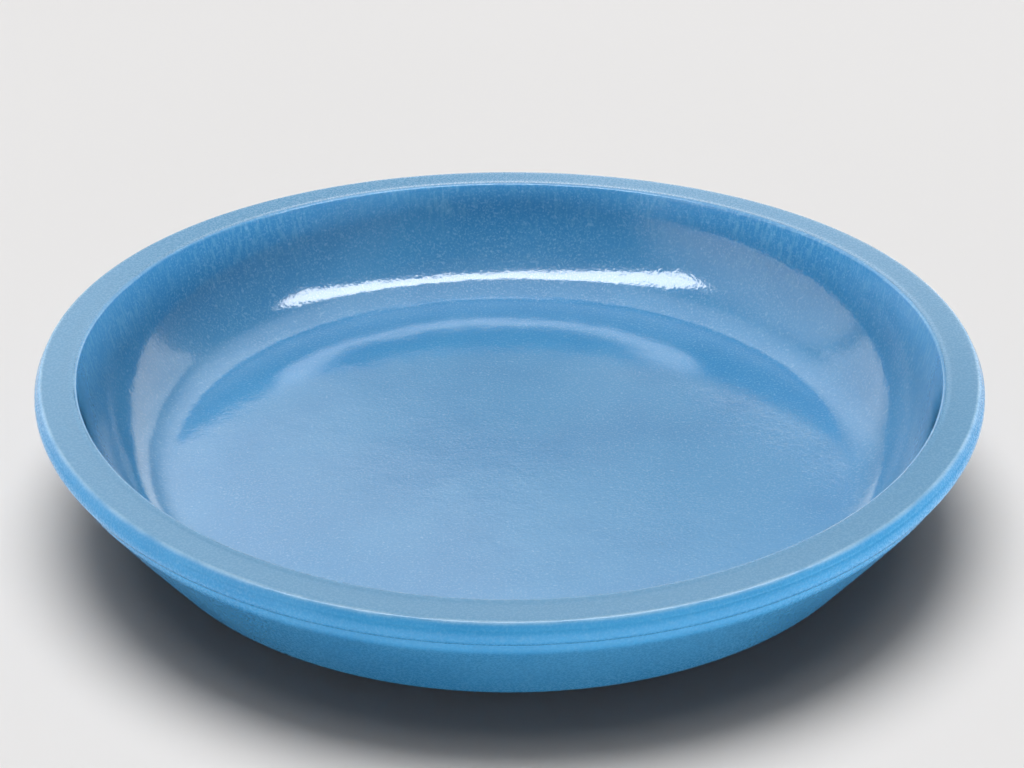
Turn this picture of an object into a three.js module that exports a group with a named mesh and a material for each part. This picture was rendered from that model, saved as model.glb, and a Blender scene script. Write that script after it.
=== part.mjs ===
// A wide, shallow, round stoneware dish. A thick clay body carries three coats of fused glaze:
// a glossy liner inside, a satin coat over the rim and the outside, and a thin coat on the
// recessed underside. The foot ring is left bare, so the dish stands on clay.
// Millimetres, +Z up. The foot ring stands on z = 0 and the axis of the dish is the Z axis.

import * as THREE from 'three';

// ---- driving dimensions ----

const OUTER_RADIUS = 125;
const RIM_HEIGHT = 38.4;
const RIM_INNER_RADIUS = 113.7;

// Inside: a flat floor, a round fillet, a hollow wall of a wider radius, and a straight top.
const FLOOR_HEIGHT = 8.7;
const FLOOR_RADIUS = 90.6;
const FILLET_RADIUS = 16;
const FILLET_END_SLOPE = 42;
const WALL_RADIUS = 36;
const WALL_END_SLOPE = 77;

// Rim: a fine raised bead along the inner edge, a broad land, a crisp outer edge, and under it
// a sloping facet that runs into a rounded roll.
const BEAD_RADIUS = 0.9;
const LAND_DIP = 0.2;
const LAND_DIP_OFFSET = 2.7;
const LAND_DROP = 0.15;
const EDGE_RADIUS = 1.2;
const EDGE_CENTRE_RADIUS = 122.7;
const ROLL_RADIUS = 3.4;
const ROLL_CENTRE_DROP = 4;
const FACET_LEAN = 26;
const ROLL_UNDERSIDE = -50;

// Outside: a groove under the roll, then a straight wall tapering in to a rounded heel.
const GROOVE_RADIUS = 121.5;
const GROOVE_HEIGHT = 30.8;
const SHOULDER_RADIUS = 122;
const SHOULDER_HEIGHT = 28.6;
const HEEL_RADIUS = 2.2;
const HEEL_CENTRE_RADIUS = 99;
const HEEL_CLEARANCE = 0.7;

// Underside: a flat bare ring round a shallow recess.
const FOOT_OUTER_RADIUS = 96.4;
const FOOT_INNER_RADIUS = 88.4;
const FOOT_EDGE = 0.8;
const RECESS_HEIGHT = 1.8;
const BASE_GLAZE_RADIUS = 84;

// The rim has gone slightly saddle-shaped in the kiln: high at +X and -X, low at +Y and -Y.
const KILN_WARP = 1.77;

// Glaze coats lie on the clay with a hair's gap, and meet along the crest of the bead.
const GLAZE_THICKNESS = 0.5;
const GLAZE_GAP = 0.05;
const SEAM_GAP = 0.3;

const SEGMENTS = 48;

// ---- outline helpers: points are (radius, height) ----

const point = (radius, height) => new THREE.Vector2(radius, height);

function arc(centre, radius, fromDegrees, toDegrees, steps) {
  const points = [];
  for (let i = 0; i <= steps; i += 1) {
    const angle = THREE.MathUtils.degToRad(fromDegrees + (toDegrees - fromDegrees) * i / steps);
    points.push(point(centre.x + radius * Math.cos(angle), centre.y + radius * Math.sin(angle)));
  }
  return points;
}

// The points strictly between two ends of a straight run.
function between(start, end, steps) {
  const points = [];
  for (let i = 1; i < steps; i += 1) {
    points.push(start.clone().lerp(end, i / steps));
  }
  return points;
}

// Moves an outline sideways by a constant distance, into the clay on its right-hand side.
function inset(outline, distance) {
  return outline.map((vertex, i) => {
    const before = outline[Math.max(i - 1, 0)];
    const after = outline[Math.min(i + 1, outline.length - 1)];
    const arriving = vertex.clone().sub(i > 0 ? before : vertex);
    const leaving = after.clone().sub(vertex);
    const arrivingUnit = (arriving.length() > 0 ? arriving : leaving).clone().normalize();
    const leavingUnit = (leaving.length() > 0 ? leaving : arriving).clone().normalize();
    const along = arrivingUnit.clone().add(leavingUnit).normalize();
    const reach = distance / along.dot(arrivingUnit);
    return point(vertex.x + along.y * reach, vertex.y - along.x * reach);
  });
}

// ---- outlines of the glazed surfaces ----

// From the centre of the floor, out and up the inside wall, to the crest of the bead.
function insideOutline() {
  const filletCentre = point(FLOOR_RADIUS, FLOOR_HEIGHT + FILLET_RADIUS);
  const fillet = arc(filletCentre, FILLET_RADIUS, -90, FILLET_END_SLOPE - 90, 5);
  const outward = THREE.MathUtils.degToRad(FILLET_END_SLOPE - 90);
  const wallCentre = point(
    filletCentre.x + (FILLET_RADIUS - WALL_RADIUS) * Math.cos(outward),
    filletCentre.y + (FILLET_RADIUS - WALL_RADIUS) * Math.sin(outward),
  );
  const wall = arc(wallCentre, WALL_RADIUS, FILLET_END_SLOPE - 90, WALL_END_SLOPE - 90, 5);
  const beadCentre = point(RIM_INNER_RADIUS + BEAD_RADIUS, RIM_HEIGHT - BEAD_RADIUS);
  const bead = arc(beadCentre, BEAD_RADIUS, 90 + WALL_END_SLOPE, 90, 3);
  const top = between(wall[wall.length - 1], bead[0], 2);
  return [point(0, FLOOR_HEIGHT), ...fillet, ...wall.slice(1), ...top, ...bead];
}

// From just outside the crest, over the land, the edge and the roll, down to the heel.
function outsideOutline() {
  const beadCentre = RIM_INNER_RADIUS + BEAD_RADIUS;
  const edgeCentre = point(EDGE_CENTRE_RADIUS, RIM_HEIGHT - LAND_DROP - EDGE_RADIUS);
  const edge = arc(edgeCentre, EDGE_RADIUS, 84, FACET_LEAN, 3);
  const rollCentre = point(OUTER_RADIUS - ROLL_RADIUS, RIM_HEIGHT - ROLL_CENTRE_DROP);
  const roll = arc(rollCentre, ROLL_RADIUS, FACET_LEAN, ROLL_UNDERSIDE, 4);
  const heelCentre = point(HEEL_CENTRE_RADIUS, HEEL_CLEARANCE + HEEL_RADIUS);
  const shoulder = point(SHOULDER_RADIUS, SHOULDER_HEIGHT);
  const wallLean = THREE.MathUtils.radToDeg(
    Math.atan2(shoulder.y - heelCentre.y, shoulder.x - heelCentre.x),
  );
  const heel = arc(heelCentre, HEEL_RADIUS, wallLean - 90, -90, 4);
  return [
    point(beadCentre + SEAM_GAP, RIM_HEIGHT),
    point(beadCentre + BEAD_RADIUS, RIM_HEIGHT - 0.6 * LAND_DIP),
    point(RIM_INNER_RADIUS + LAND_DIP_OFFSET, RIM_HEIGHT - LAND_DIP),
    ...edge,
    ...roll,
    point(GROOVE_RADIUS, GROOVE_HEIGHT),
    shoulder,
    ...between(shoulder, heel[0], 5),
    ...heel,
  ];
}

// The bare foot, from the axis under the dish out to where the outside glaze ends.
function footOutline(glazeEnd) {
  return [
    point(0, RECESS_HEIGHT + GLAZE_THICKNESS + GLAZE_GAP),
    point(BASE_GLAZE_RADIUS + 1, RECESS_HEIGHT + GLAZE_THICKNESS + GLAZE_GAP),
    point(FOOT_INNER_RADIUS - FOOT_EDGE, RECESS_HEIGHT - FOOT_EDGE),
    point(FOOT_INNER_RADIUS, 0),
    point(FOOT_OUTER_RADIUS, 0),
    point(FOOT_OUTER_RADIUS + FOOT_EDGE, glazeEnd.y),
  ];
}

// ---- solids ----

function warp(geometry) {
  const position = geometry.attributes.position;
  for (let i = 0; i < position.count; i += 1) {
    const x = position.getX(i);
    const y = position.getY(i);
    const z = position.getZ(i);
    const reach = (x * x + y * y) / (OUTER_RADIUS * OUTER_RADIUS);
    const rise = THREE.MathUtils.smoothstep(z, FLOOR_HEIGHT, RIM_HEIGHT);
    position.setZ(i, z + KILN_WARP * rise * reach * Math.cos(2 * Math.atan2(y, x)));
  }
}

function turned(name, outline, material) {
  const geometry = new THREE.LatheGeometry(outline, SEGMENTS);
  geometry.rotateX(Math.PI / 2);
  warp(geometry);
  geometry.computeVertexNormals();
  const mesh = new THREE.Mesh(geometry, material);
  mesh.name = name;
  return mesh;
}

const stoneware = new THREE.MeshStandardMaterial({ color: 0xc9b79c, roughness: 0.9, metalness: 0 });
const glossyGlaze = new THREE.MeshStandardMaterial({ color: 0x5d9fd0, roughness: 0.12, metalness: 0 });
const satinGlaze = new THREE.MeshStandardMaterial({ color: 0x4a8dc2, roughness: 0.3, metalness: 0 });
const baseGlaze = new THREE.MeshStandardMaterial({ color: 0x4585b8, roughness: 0.35, metalness: 0 });

const inside = insideOutline();
const outside = outsideOutline();
const glazed = [...inside, ...outside];
const underGlaze = inset(glazed, GLAZE_THICKNESS);
const clay = inset(glazed, GLAZE_THICKNESS + GLAZE_GAP).reverse();

function stonewareBody() {
  return turned('stoneware_body', [...footOutline(clay[0]), ...clay], stoneware);
}

function linerGlaze() {
  const under = underGlaze.slice(0, inside.length);
  return turned('liner_glaze', [...under, ...inside.slice().reverse()], glossyGlaze);
}

function outerGlaze() {
  const under = underGlaze.slice(inside.length);
  const outline = [...outside.slice().reverse(), ...under];
  return turned('outer_glaze', [...outline, outline[0].clone()], satinGlaze);
}

function baseGlazeDisc() {
  const outline = [
    point(0, RECESS_HEIGHT),
    point(BASE_GLAZE_RADIUS - GLAZE_THICKNESS, RECESS_HEIGHT),
    point(BASE_GLAZE_RADIUS, RECESS_HEIGHT + GLAZE_THICKNESS),
    point(0, RECESS_HEIGHT + GLAZE_THICKNESS),
  ];
  return turned('base_glaze', outline, baseGlaze);
}

const dish = new THREE.Group();
dish.add(stonewareBody(), linerGlaze(), outerGlaze(), baseGlazeDisc());

export default dish;
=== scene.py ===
"""A wide, shallow stoneware dish in blue glaze, on a pale floor under soft studio light.

The four CAD nodes are replaced by finer turned pieces of the same shape: the clay body, the
liner glaze, the outer glaze and the base glaze. Metres, +Z up, the foot ring on z = 0.
"""

import math

import bpy
import numpy as np
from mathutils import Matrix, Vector, noise


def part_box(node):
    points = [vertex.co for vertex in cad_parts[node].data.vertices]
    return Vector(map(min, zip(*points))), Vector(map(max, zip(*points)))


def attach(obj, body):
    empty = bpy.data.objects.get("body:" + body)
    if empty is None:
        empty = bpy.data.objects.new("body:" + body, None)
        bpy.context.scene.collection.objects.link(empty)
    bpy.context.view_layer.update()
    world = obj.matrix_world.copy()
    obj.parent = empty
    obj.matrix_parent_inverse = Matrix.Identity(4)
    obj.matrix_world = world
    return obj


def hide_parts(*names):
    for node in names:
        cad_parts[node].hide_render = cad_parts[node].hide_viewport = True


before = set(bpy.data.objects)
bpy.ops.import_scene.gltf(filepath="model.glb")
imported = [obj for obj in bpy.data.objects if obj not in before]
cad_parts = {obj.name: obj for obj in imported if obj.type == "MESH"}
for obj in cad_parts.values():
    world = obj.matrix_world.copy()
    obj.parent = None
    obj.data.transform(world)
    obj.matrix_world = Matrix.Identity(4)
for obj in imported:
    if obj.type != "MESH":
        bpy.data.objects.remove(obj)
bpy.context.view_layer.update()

MM = 0.001

# ---- dimensions, from the frame where it gives them ----

liner_low, liner_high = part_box("liner_glaze")
outer_low, outer_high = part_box("outer_glaze")
base_low, base_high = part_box("base_glaze")

GLAZE = base_high.z - base_low.z
GLAZE_GAP = 0.05 * MM
SEAM_GAP = 0.02 * MM
OUTER_RADIUS = outer_high.x
CREST_RADIUS = liner_high.x
KILN_WARP = 1.77 * MM
RIM_HEIGHT = liner_high.z - KILN_WARP * (CREST_RADIUS / OUTER_RADIUS) ** 2
FLOOR_HEIGHT = liner_low.z + GLAZE
HEEL_CLEARANCE = outer_low.z
RECESS_HEIGHT = base_low.z
BASE_GLAZE_RADIUS = base_high.x

# Inside: a flat floor, a round fillet, a hollow wall of a wider radius, and a straight top.
FLOOR_RADIUS = 90.6 * MM
FILLET_RADIUS = 16 * MM
FILLET_END_SLOPE = 42
WALL_RADIUS = 36 * MM
WALL_END_SLOPE = 77
BEAD_RADIUS = 0.9 * MM

# Rim: a bead, a broad land, a crisp edge, a facet with a fine line along it, and a roll.
LAND_DIP = 0.2 * MM
LAND_DIP_RADIUS = 116.4 * MM
LAND_DROP = 0.15 * MM
EDGE_RADIUS = 1.2 * MM
EDGE_CENTRE_RADIUS = 122.7 * MM
EDGE_START_ANGLE = 80
FACET_LEAN = 26
FACET_STEPS = 10
FACET_LINE_DEPTH = 0.06 * MM
FACET_LINE_STEP = 6.5
FACET_LINE_HALF_WIDTH = 1.3
ROLL_RADIUS = 3.4 * MM
ROLL_CENTRE_DROP = 4 * MM
ROLL_UNDERSIDE = -50

# Outside: a groove under the roll, then a straight wall tapering in to a rounded heel.
GROOVE_RADIUS = 121.5 * MM
GROOVE_HEIGHT = 30.8 * MM
SHOULDER_RADIUS = 122 * MM
SHOULDER_HEIGHT = 28.6 * MM
HEEL_RADIUS = 2.2 * MM
HEEL_CENTRE_RADIUS = 99 * MM

# Underside: a bare ring, soft at both edges, round a shallow recess.
FOOT_OUTER_RADIUS = 96.4 * MM
FOOT_INNER_RADIUS = 88.4 * MM
FOOT_EDGE = 0.8 * MM
FOOT_ROUND = 0.6 * FOOT_EDGE

# How far each soft curve of the outline keeps the direction that it starts or ends in.
CREST_LEAD = 0.8 * MM
DIP_INNER_LEAD = 0.7 * MM
DIP_OUTER_LEAD = 3 * MM
EDGE_LEAD = (0.8 * MM, 0.1 * MM)
ROLL_LEAD = 1.3 * MM
GROOVE_UPPER_LEAD = 0.7 * MM
GROOVE_LOWER_LEAD = 1.0 * MM

SEGMENTS = 640
HIDDEN_SEGMENTS = 320
SHARP_ANGLE = 50
LINER_RELIEF, OUTER_RELIEF, BASE_RELIEF = 1, 0.45, 1

# The ripple of a fired glaze: how broad and how high each of its waves is, and its place.
RIPPLE_WAVES = (
    (14 * MM, 0.042 * MM, (0, 0, 0)),
    (6 * MM, 0.020 * MM, (7, 3, 1)),
    (3 * MM, 0.006 * MM, (2, 9, 5)),
)


# ---- outlines: lists of (radius, height) ----

def arc(centre, radius, start, end, steps):
    """Points round part of a circle; start and end are in degrees."""
    angles = np.radians(np.linspace(start, end, steps + 1))
    return [(centre[0] + radius * math.cos(a), centre[1] + radius * math.sin(a)) for a in angles]


def between(start, end, steps):
    """The points strictly between two ends of a straight run."""
    return [
        (start[0] + (end[0] - start[0]) * i / steps, start[1] + (end[1] - start[1]) * i / steps)
        for i in range(1, steps)
    ]


def curve(start, pull_start, pull_end, end, steps):
    """A cubic Bezier curve with both its ends."""
    corners = (start, pull_start, pull_end, end)
    points = []
    for i in range(steps + 1):
        t = i / steps
        weights = ((1 - t) ** 3, 3 * t * (1 - t) ** 2, 3 * t * t * (1 - t), t ** 3)
        points.append(tuple(sum(w * c[k] for w, c in zip(weights, corners)) for k in (0, 1)))
    return points


def inset(outline, distance):
    """Moves an outline by a constant distance into the clay, on its right-hand side."""
    p = np.array(outline)
    step = np.diff(p, axis=0)
    step /= np.linalg.norm(step, axis=1)[:, None]
    arriving = np.vstack([step[:1], step])
    leaving = np.vstack([step, step[-1:]])
    along = arriving + leaving
    along /= np.linalg.norm(along, axis=1)[:, None]
    reach = distance / (along * arriving).sum(1)
    moved = p + np.stack([along[:, 1], -along[:, 0]], 1) * reach[:, None]
    return [tuple(v) for v in moved]


def thinned(outline, keep_every):
    """Every few points of an outline, and always its last."""
    return outline[:-1:keep_every] + [outline[-1]]


def inside_outline():
    """From the centre of the floor, out and up the inside wall, to the crest of the bead."""
    fillet_centre = (FLOOR_RADIUS, FLOOR_HEIGHT + FILLET_RADIUS)
    fillet = arc(fillet_centre, FILLET_RADIUS, -90, FILLET_END_SLOPE - 90, 16)
    outward = math.radians(FILLET_END_SLOPE - 90)
    wall_centre = (
        fillet_centre[0] + (FILLET_RADIUS - WALL_RADIUS) * math.cos(outward),
        fillet_centre[1] + (FILLET_RADIUS - WALL_RADIUS) * math.sin(outward),
    )
    wall = arc(wall_centre, WALL_RADIUS, FILLET_END_SLOPE - 90, WALL_END_SLOPE - 90, 22)
    bead_centre = (CREST_RADIUS, RIM_HEIGHT - BEAD_RADIUS)
    bead = arc(bead_centre, BEAD_RADIUS, 90 + WALL_END_SLOPE, 90, 8)
    floor = between((0, FLOOR_HEIGHT), fillet[0], 66)
    top = between(wall[-1], bead[0], 10)
    return [(0, FLOOR_HEIGHT)] + floor + fillet + wall[1:] + top + bead


def land_outline():
    """From just outside the crest, down the bead, over the land and round the crisp edge."""
    crest = (CREST_RADIUS + SEAM_GAP, RIM_HEIGHT)
    dip = (LAND_DIP_RADIUS, RIM_HEIGHT - LAND_DIP)
    bead_side = curve(
        crest, (crest[0] + CREST_LEAD, crest[1]), (dip[0] - DIP_INNER_LEAD, dip[1]), dip, 8,
    )
    edge_centre = (EDGE_CENTRE_RADIUS, RIM_HEIGHT - LAND_DROP - EDGE_RADIUS)
    edge = arc(edge_centre, EDGE_RADIUS, EDGE_START_ANGLE, FACET_LEAN, 14)
    into_edge = (edge[0][0] - EDGE_LEAD[0], edge[0][1] + EDGE_LEAD[1])
    land = curve(dip, (dip[0] + DIP_OUTER_LEAD, dip[1]), into_edge, edge[0], 10)
    return bead_side + land[1:] + edge[1:]


def roll_outline(edge_end):
    """From the crisp edge, down the facet with its fine line, and round the roll."""
    roll_centre = (OUTER_RADIUS - ROLL_RADIUS, RIM_HEIGHT - ROLL_CENTRE_DROP)
    roll = arc(roll_centre, ROLL_RADIUS, FACET_LEAN, ROLL_UNDERSIDE, 20)
    out = (math.cos(math.radians(FACET_LEAN)), math.sin(math.radians(FACET_LEAN)))
    facet = []
    for i, (radius, height) in enumerate(between(edge_end, roll[0], FACET_STEPS)):
        aside = (i - FACET_LINE_STEP) / FACET_LINE_HALF_WIDTH
        depth = FACET_LINE_DEPTH * math.exp(-aside ** 2)
        facet.append((radius - depth * out[0], height - depth * out[1]))
    return facet + roll


def lower_outline(roll_end):
    """From under the roll, through the groove, over the shoulder and down to the heel."""
    groove = (GROOVE_RADIUS, GROOVE_HEIGHT)
    shoulder = (SHOULDER_RADIUS, SHOULDER_HEIGHT)
    heel_centre = (HEEL_CENTRE_RADIUS, HEEL_CLEARANCE + HEEL_RADIUS)
    lean = math.degrees(math.atan2(shoulder[1] - heel_centre[1], shoulder[0] - heel_centre[0]))
    heel = arc(heel_centre, HEEL_RADIUS, lean - 90, -90, 8)
    down = (math.sin(math.radians(ROLL_UNDERSIDE)), -math.cos(math.radians(ROLL_UNDERSIDE)))
    into_groove = curve(
        roll_end,
        (roll_end[0] + ROLL_LEAD * down[0], roll_end[1] + ROLL_LEAD * down[1]),
        (groove[0], groove[1] + GROOVE_UPPER_LEAD),
        groove, 8,
    )
    wall = between(shoulder, heel[0], 22)
    below = (groove[0], groove[1] - GROOVE_LOWER_LEAD)
    out_of_groove = curve(groove, below, shoulder, wall[1], 8)
    return into_groove[1:] + out_of_groove[1:-1] + wall[1:] + heel


def outside_outline():
    """From just outside the crest, over the land, the edge and the roll, down to the heel."""
    land = land_outline()
    roll = roll_outline(land[-1])
    return land + roll + lower_outline(roll[-1])


def foot_outline(glaze_end_height):
    """The bare foot, from the axis under the dish out to where the outside glaze ends."""
    under = RECESS_HEIGHT + GLAZE + GLAZE_GAP
    inner = curve(
        (BASE_GLAZE_RADIUS + 1 * MM, under),
        (FOOT_INNER_RADIUS - 1.4 * MM, under),
        (FOOT_INNER_RADIUS - 1.2 * MM, 0.9 * MM),
        (FOOT_INNER_RADIUS - 0.3 * MM, FOOT_ROUND), 6,
    )
    inner_edge = arc((FOOT_INNER_RADIUS + FOOT_ROUND, FOOT_ROUND), FOOT_ROUND, 200, 270, 4)
    outer_edge = arc((FOOT_OUTER_RADIUS - FOOT_ROUND, FOOT_ROUND), FOOT_ROUND, -90, -10, 4)
    out = [(FOOT_OUTER_RADIUS + FOOT_EDGE, glaze_end_height)]
    return [(0, under)] + inner + inner_edge + outer_edge + out


# ---- turned meshes ----

def added(name, data):
    """A new object in the scene with this mesh, light or camera."""
    thing = bpy.data.objects.new(name, data)
    bpy.context.scene.collection.objects.link(thing)
    return thing


def warp(positions):
    """The kiln's slight saddle: the rim is high at +X and -X and low at +Y and -Y."""
    x, y, z = positions.T
    rise = np.clip((z - FLOOR_HEIGHT) / (RIM_HEIGHT - FLOOR_HEIGHT), 0, 1)
    rise = rise * rise * (3 - 2 * rise)
    positions[:, 2] += KILN_WARP * rise * (x * x - y * y) / OUTER_RADIUS ** 2


def ripple(place):
    """How far the glaze surface stands off its true shape at a place, in metres."""
    return sum(
        height * noise.noise(place / size + Vector(offset))
        for size, height, offset in RIPPLE_WAVES
    )


def outward_directions(ring):
    """The direction out of the surface at each point of an outline: (radial, upward) parts."""
    step = np.gradient(ring, axis=0)
    normal = np.stack([step[:, 1], -step[:, 0]], 1)
    return normal / np.maximum(np.linalg.norm(normal, axis=1), 1e-12)[:, None]


def add_ripple(positions, angles, directions, weight):
    """Moves the points of a turned surface off its true shape by their share of the ripple."""
    for i, angle in enumerate(angles):
        c, s = math.cos(angle), math.sin(angle)
        for j in np.nonzero(weight)[0]:
            out, up = directions[j]
            lift = weight[j] * ripple(Vector(positions[i, j]))
            positions[i, j] += lift * np.array([out * c, out * s, up])


def side_faces(segments, count, closed):
    """Quads between neighbouring copies of an outline of count points, each copy in a row."""
    rows = count if closed else count - 1
    i, j = np.meshgrid(np.arange(segments), np.arange(rows), indexing="ij")
    i, j = i.ravel(), j.ravel()
    after, up = (i + 1) % segments, (j + 1) % count
    corners = [i * count + j, after * count + j, after * count + up, i * count + up]
    return np.stack(corners, 1).tolist()


def cap_faces(segments, count):
    """Triangles from both ends of each copy of an outline to the two centres added last."""
    first_centre = segments * count
    faces = []
    for k in range(segments):
        following = (k + 1) % segments
        faces.append([first_centre, following * count, k * count])
        faces.append([first_centre + 1, k * count + count - 1, following * count + count - 1])
    return faces


def turned(name, outline, relief, segments=SEGMENTS):
    """Turns an outline about the Z axis into a closed mesh. An outline on the axis at both ends
    is capped there; any other is joined end to start. relief says, for each point, how much of
    the ripple it takes."""
    outline = np.array(outline)
    weight = np.array(relief, float)
    on_axis = outline[0, 0] < 1e-9 and outline[-1, 0] < 1e-9
    ring = outline[1:-1] if on_axis else outline
    weight = weight[1:-1] if on_axis else weight
    angles = 2 * math.pi * np.arange(segments) / segments
    radius = np.tile(ring[:, 0], (segments, 1))
    x = radius * np.cos(angles)[:, None]
    y = radius * np.sin(angles)[:, None]
    z = np.tile(ring[:, 1], (segments, 1))
    positions = np.stack([x, y, z], -1)
    add_ripple(positions, angles, outward_directions(ring), weight)
    vertices = positions.reshape(-1, 3)
    warp(vertices)
    faces = side_faces(segments, len(ring), closed=not on_axis)
    if on_axis:
        centres = np.array([[0, 0, outline[0, 1]], [0, 0, outline[-1, 1]]])
        vertices = np.vstack([vertices, centres])
        faces += cap_faces(segments, len(ring))
    mesh = bpy.data.meshes.new(name)
    mesh.from_pydata(vertices.tolist(), [], faces)
    mesh.update()
    mesh.shade_smooth()
    mesh.set_sharp_from_angle(angle=math.radians(SHARP_ANGLE))
    return added(name, mesh)


inside = inside_outline()
outside = outside_outline()
glazed = inside + outside
under_glaze = inset(glazed, GLAZE)
clay = inset(glazed, GLAZE + GLAZE_GAP)[::-1]


def make_liner():
    under = thinned(under_glaze[:len(inside)], 5)
    top = inside[::-1]
    return turned("liner_glaze_coat", under + top, [0] * len(under) + [LINER_RELIEF] * len(top))


def make_outer():
    under = thinned(under_glaze[len(inside):], 3)
    top = outside[::-1]
    return turned("outer_glaze_coat", top + under, [OUTER_RELIEF] * len(top) + [0] * len(under))


def make_base():
    round_edge = GLAZE / 2
    edge_centre = (BASE_GLAZE_RADIUS - round_edge, RECESS_HEIGHT + round_edge)
    edge = arc(edge_centre, round_edge, -90, 0, 4)
    face = [(0, RECESS_HEIGHT)] + between((0, RECESS_HEIGHT), edge[0], 24)
    top = [(BASE_GLAZE_RADIUS, RECESS_HEIGHT + GLAZE), (0, RECESS_HEIGHT + GLAZE)]
    relief = [BASE_RELIEF] * len(face) + [0] * (len(edge) + len(top))
    return turned("base_glaze_coat", face + edge + top, relief, HIDDEN_SEGMENTS)


def make_body():
    outline = foot_outline(clay[0][1]) + clay
    return turned("clay_body", outline, [0] * len(outline), HIDDEN_SEGMENTS)


# ---- node trees ----

class Nodes:
    """A short way to build a node tree. A value is a number, a colour or a node's output."""

    def __init__(self, tree):
        self.tree = tree

    def add(self, kind, **values):
        node = self.tree.nodes.new(kind)
        for key, value in values.items():
            setattr(node, key, value)
        return node

    def feed(self, value, target):
        if isinstance(value, bpy.types.NodeSocket):
            self.tree.links.new(value, target)
        elif isinstance(value, tuple):
            target.default_value = (*value, 1)
        else:
            target.default_value = value

    def object_place(self):
        return self.add("ShaderNodeTexCoord").outputs["Object"]

    def axes(self, place):
        """The X, Y and Z of a place."""
        node = self.add("ShaderNodeSeparateXYZ")
        self.feed(place, node.inputs[0])
        return node.outputs

    def noise(self, place, size, detail=2.0, roughness=0.5):
        """Noise whose features are about size across."""
        node = self.add("ShaderNodeTexNoise")
        self.feed(place, node.inputs["Vector"])
        node.inputs["Scale"].default_value = 1 / size
        node.inputs["Detail"].default_value = detail
        node.inputs["Roughness"].default_value = roughness
        return node.outputs["Fac"]

    def between(self, value, low, high, to_low=0.0, to_high=1.0):
        """Maps a number from one range to another, with soft ends."""
        node = self.add("ShaderNodeMapRange", interpolation_type="SMOOTHSTEP")
        self.feed(value, node.inputs["Value"])
        node.inputs["From Min"].default_value = low
        node.inputs["From Max"].default_value = high
        node.inputs["To Min"].default_value = to_low
        node.inputs["To Max"].default_value = to_high
        return node.outputs["Result"]

    def mix(self, factor, first, second):
        """Mixes two colours."""
        node = self.add("ShaderNodeMix", data_type="RGBA")
        self.feed(factor, node.inputs["Factor"])
        self.feed(first, node.inputs[6])
        self.feed(second, node.inputs[7])
        return node.outputs[2]

    def mix_levels(self, factor, first, second):
        """Mixes two numbers."""
        node = self.add("ShaderNodeMix", data_type="FLOAT")
        self.feed(factor, node.inputs["Factor"])
        self.feed(first, node.inputs[2])
        self.feed(second, node.inputs[3])
        return node.outputs[0]

    def work_out(self, operation, first, second):
        node = self.add("ShaderNodeMath", operation=operation)
        self.feed(first, node.inputs[0])
        self.feed(second, node.inputs[1])
        return node.outputs[0]

    def times(self, first, second):
        return self.work_out("MULTIPLY", first, second)

    def plus(self, first, second):
        return self.work_out("ADD", first, second)

    def bump(self, height, depth, before=None):
        """Raises the surface by height times depth, in metres."""
        node = self.add("ShaderNodeBump")
        node.inputs["Strength"].default_value = 1
        node.inputs["Distance"].default_value = depth
        self.feed(height, node.inputs["Height"])
        if before is not None:
            self.feed(before, node.inputs["Normal"])
        return node.outputs["Normal"]


class Surface(Nodes):
    """The node tree of a new material with one Principled shader."""

    def __init__(self, name):
        self.material = bpy.data.materials.new(name)
        self.material.use_nodes = True
        super().__init__(self.material.node_tree)
        self.shader = self.tree.nodes["Principled BSDF"]

    def give(self, socket, value):
        self.feed(value, self.shader.inputs[socket])


# ---- materials ----

LAND_TONE = (0.100, 0.302, 0.51)
# Pale colour for the crisp outer edge: part painted highlight, part glaze running thinner over the
# edge.
EDGE_HIGHLIGHT_AND_THIN_GLAZE_TONE = (0.50, 0.68, 0.80)
STREAK_TONE = (0.17, 0.40, 0.57)
GLAZE_IOR = 1.5

CLOUD_SIZE = 45 * MM
FLOW_SIZE = 9 * MM
PATCH_SIZE = 6 * MM
GRAIN_SIZE = 0.62 * MM
STAR_SIZE = 1.1 * MM
STREAK_WIDTH = 1.1 * MM
STREAK_STRETCH = 0.12
PEEL_SIZE = 2.6 * MM
PEEL_DEPTH = 0.034 * MM
STIPPLE_SIZE = 0.9 * MM


def axis_place(n, place):
    """The distance from the dish's axis, and the height, as two number sockets."""
    x, y, z = n.axes(place)
    flat = n.add("ShaderNodeCombineXYZ")
    n.feed(x, flat.inputs["X"])
    n.feed(y, flat.inputs["Y"])
    length = n.add("ShaderNodeVectorMath", operation="LENGTH")
    n.feed(flat.outputs[0], length.inputs[0])
    return length.outputs["Value"], z


def rim_band(n, radius, height, inner, outer, soft):
    """1 on top of the rim between two radii, fading over a soft distance at both."""
    rising = n.between(radius, inner - soft, inner)
    falling = n.between(radius, outer, outer + soft, 1, 0)
    top = n.between(height, RIM_HEIGHT - 4 * MM, RIM_HEIGHT - 3 * MM)
    return n.times(n.times(rising, falling), top)


def rim_tones(n, tone, flow, radius, height):
    """The outer glaze is paler over the land, and paler still along the crisp outer edge: partly
    glaze running thinner there, partly a painted highlight.
    """
    land = rim_band(n, radius, height, CREST_RADIUS, EDGE_CENTRE_RADIUS, 0.8 * MM)
    tone = n.mix(n.times(land, 0.9), tone, LAND_TONE)
    edge = EDGE_CENTRE_RADIUS + 0.45 * EDGE_RADIUS
    # A narrow pale band on the crisp outer edge: painted highlight mixed with glaze running
    # thinner there.
    thin_glaze_and_highlight_band = rim_band(n, radius, height, edge - 0.1 * MM, edge + 0.1 * MM, 0.7 * MM)
    thin_glaze_and_highlight = n.times(thin_glaze_and_highlight_band, n.between(flow, 0.25, 0.6, 0.35, 1))
    return n.mix(n.times(thin_glaze_and_highlight, 0.35), tone, EDGE_HIGHLIGHT_AND_THIN_GLAZE_TONE)


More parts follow.
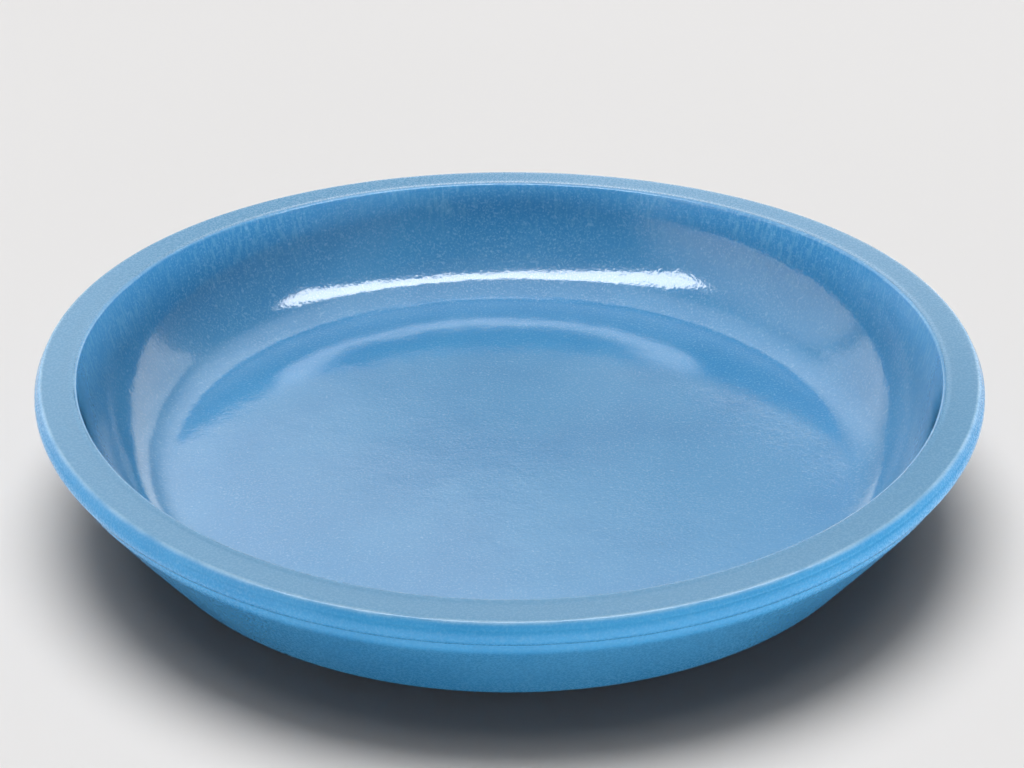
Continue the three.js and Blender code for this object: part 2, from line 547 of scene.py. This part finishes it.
def wall_streaks(n, tone, place, height):
    """The liner has run down the wall in fine pale streaks, strongest just under the rim."""
    stretch = n.add("ShaderNodeVectorMath", operation="MULTIPLY")
    n.feed(place, stretch.inputs[0])
    stretch.inputs[1].default_value = (1, 1, STREAK_STRETCH)
    streak = n.between(n.noise(stretch.outputs[0], STREAK_WIDTH, 2), 0.42, 0.72)
    cover = n.between(n.noise(place, 22 * MM, 2), 0.35, 0.65, 0.35, 1)
    high = n.between(height, FLOOR_HEIGHT + 10 * MM, RIM_HEIGHT - 3 * MM, 0.12, 0.5)
    return n.mix(n.times(n.times(streak, cover), high), tone, STREAK_TONE)


def glaze_material(
    name, deep, pale, speck, roughness, coat, coat_roughness, gloss,
    speck_share, speck_strength, stipple, covers="base",
):
    """A runny blue glaze: cloudy depth, fine pale specks, and a slightly stippled skin."""
    n = Surface(name)
    place = n.object_place()
    radius, height = axis_place(n, place)
    cloud = n.noise(place, CLOUD_SIZE, 3)
    flow = n.noise(place, FLOW_SIZE, 3)
    tone = n.mix(n.between(cloud, 0.35, 0.65), deep, pale)
    tone = n.mix(n.between(flow, 0.3, 0.8, 0, 0.25), tone, pale)
    if covers == "outside":
        tone = rim_tones(n, tone, flow, radius, height)
    if covers == "inside":
        tone = wall_streaks(n, tone, place, height)
    grain = n.noise(place, GRAIN_SIZE, 1, 0.6)
    patches = n.between(n.noise(place, PATCH_SIZE, 2), 0.3, 0.65, 0.6, 1)
    specks = n.between(grain, 1 - speck_share, 1 - speck_share + 0.22, 0, speck_strength)
    tone = n.mix(n.times(specks, patches), tone, speck)
    stars = n.between(n.noise(place, STAR_SIZE, 0), 0.72, 0.80, 0, speck_strength)
    n.give("Base Color", n.mix(stars, tone, speck))
    n.give("Roughness", n.between(grain, 0.3, 0.7, roughness * 0.8, roughness * 1.25))
    peel = n.bump(n.noise(place, PEEL_SIZE, 2), PEEL_DEPTH)
    skin = n.bump(n.noise(place, STIPPLE_SIZE, 1), stipple, peel)
    n.give("Normal", skin)
    n.give("Coat Normal", skin)
    n.give("IOR", GLAZE_IOR)
    n.give("Specular IOR Level", gloss)
    n.give("Coat Weight", coat)
    n.give("Coat Roughness", coat_roughness)
    n.give("Coat IOR", GLAZE_IOR)
    return n.material


def clay_material():
    """Bare fired clay: a warm, matt, grainy body with small dark grains of iron."""
    n = Surface("bare_stoneware")
    place = n.object_place()
    cloud = n.noise(place, 20 * MM, 4)
    grain = n.noise(place, 0.5 * MM, 3, 0.7)
    tone = n.mix(n.between(cloud, 0.3, 0.7), (0.50, 0.39, 0.27), (0.62, 0.51, 0.38))
    n.give("Base Color", n.mix(n.between(grain, 0.62, 0.72, 0, 0.6), tone, (0.26, 0.18, 0.12)))
    n.give("Roughness", n.between(grain, 0.3, 0.7, 0.75, 0.95))
    n.give("Normal", n.bump(grain, 0.12 * MM))
    return n.material


def floor_material():
    n = Surface("pale_floor")
    cloud = n.noise(n.object_place(), 0.5, 2)
    n.give("Base Color", n.mix(cloud, (0.80, 0.795, 0.79), (0.85, 0.845, 0.84)))
    n.give("Roughness", 0.9)
    n.give("Specular IOR Level", 0.2)
    return n.material


liner_blue = glaze_material(
    "liner_glaze_blue", (0.040, 0.222, 0.455), (0.058, 0.257, 0.495), (0.26, 0.48, 0.68),
    roughness=0.12, coat=1.0, coat_roughness=0.03, gloss=0.5,
    speck_share=0.52, speck_strength=0.26, stipple=0.028 * MM, covers="inside",
)
outer_blue = glaze_material(
    "outer_glaze_blue", (0.030, 0.218, 0.455), (0.045, 0.252, 0.495), (0.26, 0.47, 0.62),
    roughness=0.26, coat=0.45, coat_roughness=0.13, gloss=0.3,
    speck_share=0.48, speck_strength=0.10, stipple=0.008 * MM, covers="outside",
)
base_blue = glaze_material(
    "base_glaze_blue", (0.045, 0.20, 0.42), (0.065, 0.24, 0.47), (0.28, 0.46, 0.62),
    roughness=0.35, coat=0.8, coat_roughness=0.18, gloss=0.5,
    speck_share=0.46, speck_strength=0.20, stipple=0.030 * MM,
)
stoneware = clay_material()

dish = []
for piece, node, slot, material in (
    (make_liner(), "liner_glaze", "liner_glaze", liner_blue),
    (make_outer(), "outer_glaze", "outer_glaze", outer_blue),
    (make_base(), "base_glaze", "base_glaze", base_blue),
    (make_body(), "stoneware_body", "stoneware", stoneware),
):
    dish.append(piece)
    piece.data.materials.append(material)
    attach(piece, "root")
    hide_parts(node)

liner_piece, outer_piece, base_piece, body_piece = dish

# Neither of these throws its colour on the floor, so the shadow round the foot stays grey.
for piece in (outer_piece, body_piece):
    piece.visible_diffuse = False


# ---- floor, backdrop and lights ----

OVER_DISH = (0, 0, 0.03)
FLOOR_REACH = 8.0

# How bright each part of the room is in the gloss, and the backdrop that the camera sees.
DIM_ROOM, CEILING, BACK_CLOTH, WINDOW, CAMERA_SIDE, BACKDROP = 0.20, 1.15, 0.80, 1.15, 0.05, 0.80
ROOM_FOLD_SIZE = 0.625

CARD_HALF_WIDTH = 0.9
CARD_PLACE_Y = 0.55
CARD_BOTTOM, CARD_TOP = 0.02, 0.66
FOLD_SLANT = -0.62
FOLD_LEVEL, OVER_FOLD, UNDER_FOLD = 0.50, 0.80, 0.85

LOW_FILL_DISTANCE = 1.4
LOW_FILL_HEIGHT = 0.035


def sheet(name, corners, material):
    """One flat four-cornered face."""
    mesh = bpy.data.meshes.new(name)
    mesh.from_pydata(corners, [], [(0, 1, 2, 3)])
    mesh.materials.append(material)
    return added(name, mesh)


def make_floor():
    side = FLOOR_REACH
    corners = [(-side, -side, 0), (side, -side, 0), (side, side, 0), (-side, side, 0)]
    floor = sheet("floor", corners, floor_material())
    return floor


def make_world():
    """A room with a pale cloth behind the dish, a window on the left, a bright ceiling and a
    dark camera side. Only the gloss sees it; the camera sees a plain backdrop."""
    world = bpy.data.worlds.new("room")
    bpy.context.scene.world = world
    world.use_nodes = True
    n = Nodes(world.node_tree)
    place = n.add("ShaderNodeTexCoord").outputs["Generated"]
    x, y, z = n.axes(place)

    stretch = n.add("ShaderNodeMapping")
    stretch.inputs["Rotation"].default_value = (0, math.radians(35), 0)
    stretch.inputs["Scale"].default_value = (7, 1, 2.5)
    n.feed(place, stretch.inputs["Vector"])
    folds = n.noise(stretch.outputs[0], ROOM_FOLD_SIZE, 1.5)
    ragged = n.plus(x, n.times(n.work_out("SUBTRACT", folds, 0.5), 0.12))

    ceiling = n.between(n.plus(z, n.times(y, 0.45)), 0.72, 1.0)
    cloth = n.times(n.between(y, 0.2, 0.72), n.between(z, 0.62, 0.85, 1, 0))
    window = n.times(n.between(ragged, -0.50, -0.86), n.between(z, 0.80, 0.90, 1, 0))
    window = n.times(window, n.between(y, 0.40, 0.32))
    dark_sides = n.times(n.between(ragged, -0.60, -0.52), n.between(ragged, 0.56, 0.48))
    behind = n.times(n.between(y, -0.05, -0.25), n.between(z, 0.83, 0.77))
    seen_directly = n.add("ShaderNodeLightPath").outputs["Is Camera Ray"]

    level = n.mix_levels(ceiling, DIM_ROOM, CEILING)
    level = n.mix_levels(cloth, level, BACK_CLOTH)
    level = n.mix_levels(window, level, WINDOW)
    level = n.mix_levels(n.times(dark_sides, behind), level, CAMERA_SIDE)
    level = n.mix_levels(seen_directly, level, BACKDROP)
    background = n.tree.nodes["Background"]
    n.feed((1, 0.995, 0.99), background.inputs["Color"])
    n.feed(level, background.inputs["Strength"])
    world.cycles_visibility.diffuse = False


def cloth_material():
    """Lit cloth as a glowing sheet of painted light: bright over and under one dimmer slanting
    fold of painted shade.
    """
    n = Surface("lit_cloth")
    n.tree.nodes.remove(n.shader)
    place = n.object_place()
    x, _, z = n.axes(place)
    slant = n.add("ShaderNodeMath", operation="MULTIPLY_ADD")
    for value, target in zip((x, FOLD_SLANT, z), slant.inputs):
        n.feed(value, target)
    under = n.between(slant.outputs[0], 0.200, 0.235, 1, 0)
    over = n.between(slant.outputs[0], 0.27, 0.45)
    wave = n.between(n.noise(place, 0.11, 1), 0.35, 0.65, -0.10, 0.10)
    level = n.plus(n.times(over, OVER_FOLD), n.times(under, UNDER_FOLD))
    glow = n.add("ShaderNodeEmission")
    n.feed(n.plus(n.plus(level, wave), FOLD_LEVEL), glow.inputs["Strength"])
    n.feed(glow.outputs[0], n.tree.nodes["Material Output"].inputs["Surface"])
    return n.material


def make_cloth_card():
    """A standing sheet that glows as painted light of lit cloth behind the dish, seen only in its
    gloss.
    """
    side, y = CARD_HALF_WIDTH, CARD_PLACE_Y
    corners = [
        (-side, y, CARD_BOTTOM), (side, y, CARD_BOTTOM), (side, y, CARD_TOP), (-side, y, CARD_TOP),
    ]
    card = sheet("cloth_card", corners, cloth_material())
    card.visible_camera = False
    card.visible_diffuse = False
    card.visible_shadow = False


def aim(thing, place, target):
    thing.location = place
    thing.rotation_euler = (Vector(target) - Vector(place)).to_track_quat("-Z", "Y").to_euler()


def light_only(lamp, things):
    """Makes a lamp light only these things; everything still casts a shadow in it."""
    lit = bpy.data.collections.new(lamp.name + "_lit")
    for thing in things:
        lit.objects.link(thing)
    lamp.light_linking.receiver_collection = lit


def softbox(name, place, width, height, radiance, seen_as, only_on=()):
    """A rectangular light facing the dish, seen only in its diffuse or only in its gloss."""
    light = bpy.data.lights.new(name, "AREA")
    light.shape = "RECTANGLE"
    light.size = width
    light.size_y = height
    light.energy = radiance * math.pi * width * height
    lamp = added(name, light)
    aim(lamp, place, OVER_DISH)
    lamp.visible_camera = False
    lamp.visible_diffuse = seen_as == "diffuse"
    lamp.visible_glossy = seen_as == "gloss"
    if only_on:
        light_only(lamp, only_on)


def sunlight(name, toward, spread, strength, colour, only_on):
    """Far light from one direction, spread over some degrees."""
    light = bpy.data.lights.new(name, "SUN")
    light.angle = math.radians(spread)
    light.energy = strength
    light.color = colour
    lamp = added(name, light)
    aim(lamp, toward, (0, 0, 0))
    lamp.visible_glossy = False
    light_only(lamp, only_on)


def make_lights(floor):
    """One strip for the highlights, then diffuse light for the inside, the outside, the outside
    wall from low down, and the floor."""
    softbox("strip_reflection", (0.03, -0.19, 1.05), 1.95, 0.22, 9.0, "gloss")
    inner, outer = [liner_piece], [outer_piece, base_piece, body_piece]
    softbox("key_on_inside", (-0.15, -0.55, 1.15), 1.2, 1.2, 1.5, "diffuse", inner)
    softbox("sky_on_inside", (-0.2, 0, 1.5), 2.5, 2.5, 1.85, "diffuse", inner)
    softbox("key_on_outside", (-0.1, 0.35, 1.2), 1.2, 1.2, 1.35, "diffuse", outer)
    softbox("sky_on_outside", (-0.1, 0.9, 1.3), 2.2, 2.2, 2.4, "diffuse", outer)
    for side, azimuth, radiance in (("left", -60, 50.0), ("front", 0, 2.5), ("right", 60, 66.0)):
        turn = math.radians(azimuth)
        right, front = LOW_FILL_DISTANCE * math.sin(turn), LOW_FILL_DISTANCE * math.cos(turn)
        place = (right, -front, LOW_FILL_HEIGHT)
        softbox("low_fill_" + side, place, 1.0, 0.16, radiance, "diffuse", dish)
    sunlight("daylight_on_floor", (-0.05, 0.33, 1), 42, 2.98, (1, 0.995, 1), [floor])
    sunlight("bounce_on_floor", (0, -0.2, 1), 150, 0.19, (1, 0.97, 0.93), [floor])


# ---- camera ----

CAMERA_DISTANCE = 0.795
CAMERA_ELEVATION = math.radians(28.27)
CAMERA_LENS = 105.47
CAMERA_SENSOR = 36
AIM_POINT = (0.0006, 0, RIM_HEIGHT - 7.25 * MM)


def make_camera():
    data = bpy.data.cameras.new("camera")
    data.lens = CAMERA_LENS
    data.sensor_width = CAMERA_SENSOR
    camera = added("camera", data)
    place = (
        0,
        -CAMERA_DISTANCE * math.cos(CAMERA_ELEVATION),
        RIM_HEIGHT + CAMERA_DISTANCE * math.sin(CAMERA_ELEVATION),
    )
    aim(camera, place, AIM_POINT)
    bpy.context.scene.camera = camera


pale_floor = make_floor()
make_world()
make_cloth_card()
make_lights(pale_floor)
make_camera()
bpy.context.scene.view_settings.view_transform = "Standard"
